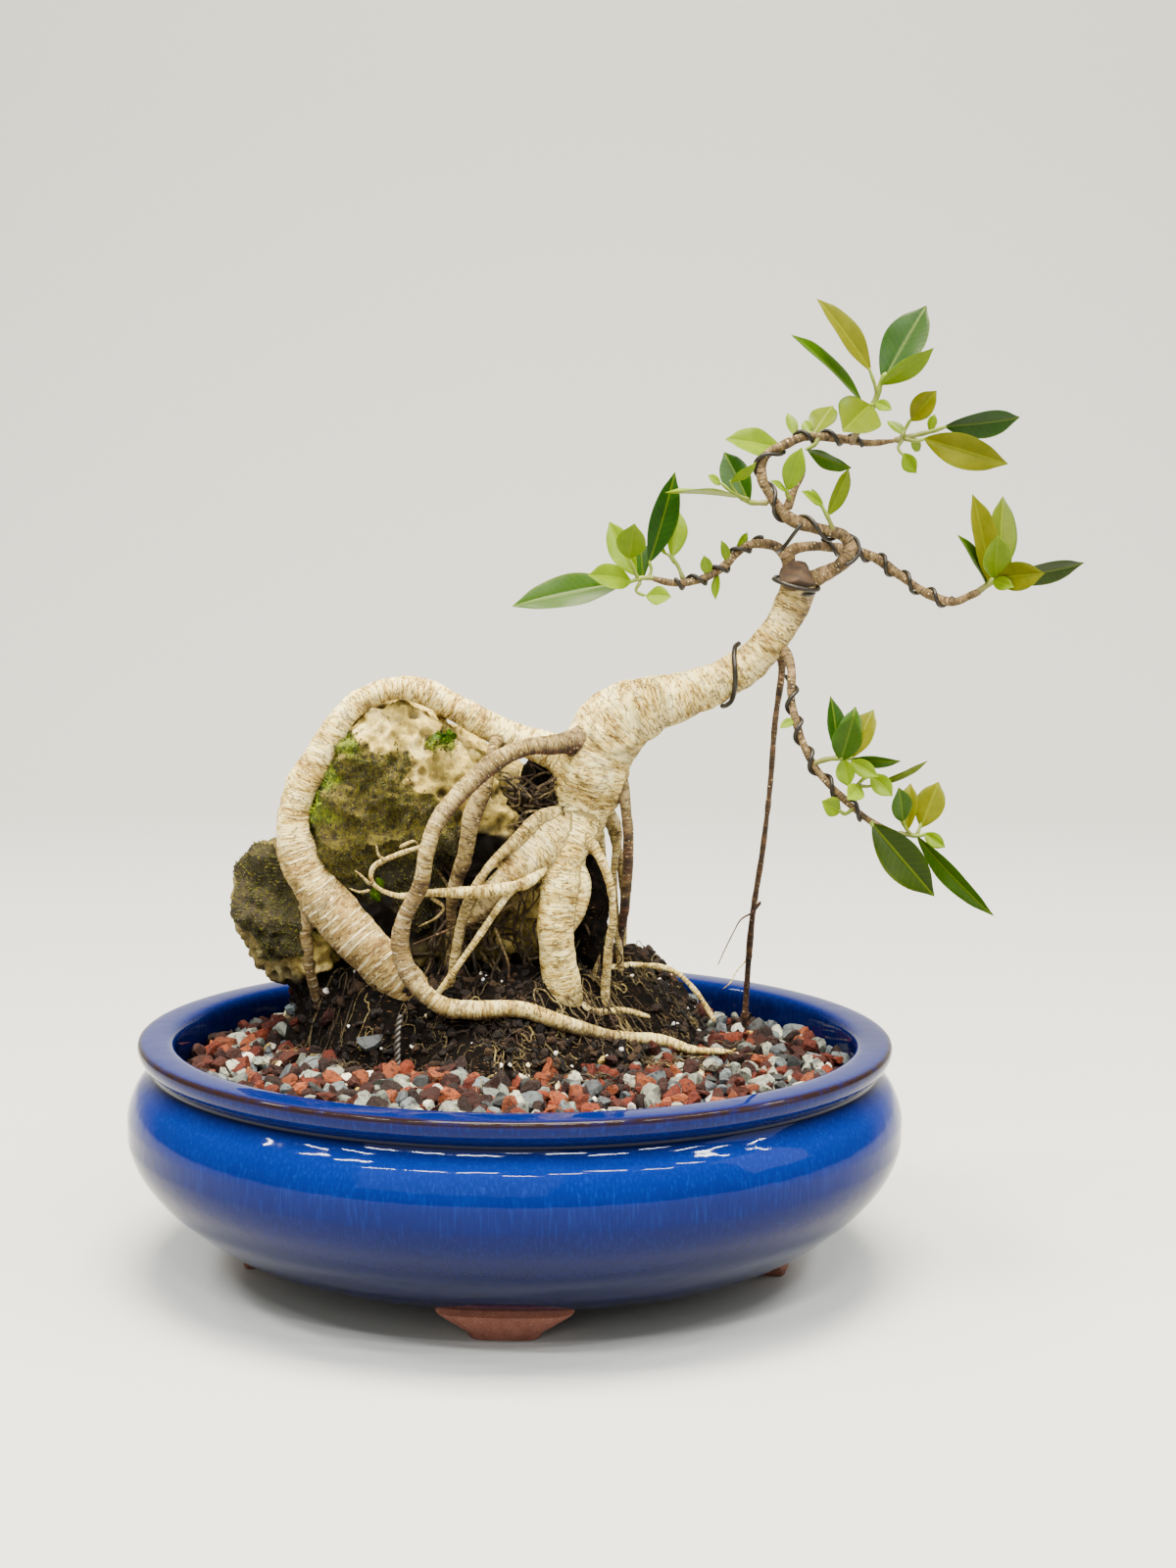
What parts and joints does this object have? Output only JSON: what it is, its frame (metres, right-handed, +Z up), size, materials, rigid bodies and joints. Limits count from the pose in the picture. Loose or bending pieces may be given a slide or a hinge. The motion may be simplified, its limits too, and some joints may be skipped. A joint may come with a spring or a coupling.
{
  "type": "potted bonsai tree",
  "caption": "Tiger bark ficus bonsai with roots grown over a limestone rock, wired leaning branches and glossy leaves, in a footed oval blue glazed pot with gravel.",
  "frame": {"origin": "on the surface it stands on, under the middle of the whole object's box; the pot's own centre lies 36.3 mm to the left of it, because the crown leans out to the right", "axes": "+Z up, +X along the pot's long side towards the leaning crown, +Y from the viewer's side of the pot to the back"},
  "size_m": [0.3934, 0.2588, 0.399],
  "materials": {
    "pot": "cobalt glaze, gloss",
    "screen": "matte",
    "soil": "damp, crumbly",
    "gravel": "rough, brick red with blue grey",
    "rock": "pitted limestone, mossy",
    "bark": "ringed pale bark",
    "leaf": "waxy green",
    "training_wire": "dark brown coating, satin",
    "anchor_wire": "dull"
  },
  "bodies": {
    "root": {"pot": "pot", "drain_screen_left": "screen", "drain_screen_right": "screen", "soil": "soil", "gravel": "gravel", "rock": "rock", "ficus_wood": "bark", "leaves_left_tip": "leaf", "leaves_left_middle": "leaf", "leaves_upper_left": "leaf", "leaves_crown_low": "leaf", "leaves_spur": "leaf", "leaves_crown_middle": "leaf", "leaves_crown_top": "leaf", "leaves_crown_right": "leaf", "leaves_right_tip": "leaf", "leaves_hanging_upper": "leaf", "leaves_hanging_middle": "leaf", "leaves_hanging_left": "leaf", "leaves_hanging_big": "leaf", "leaves_hanging_tip": "leaf", "wire_trunk": "training_wire", "wire_left": "training_wire", "wire_crown": "training_wire", "wire_right": "training_wire", "wire_hanging": "training_wire", "anchor_wire": "anchor_wire"}
  },
  "joints": []
}
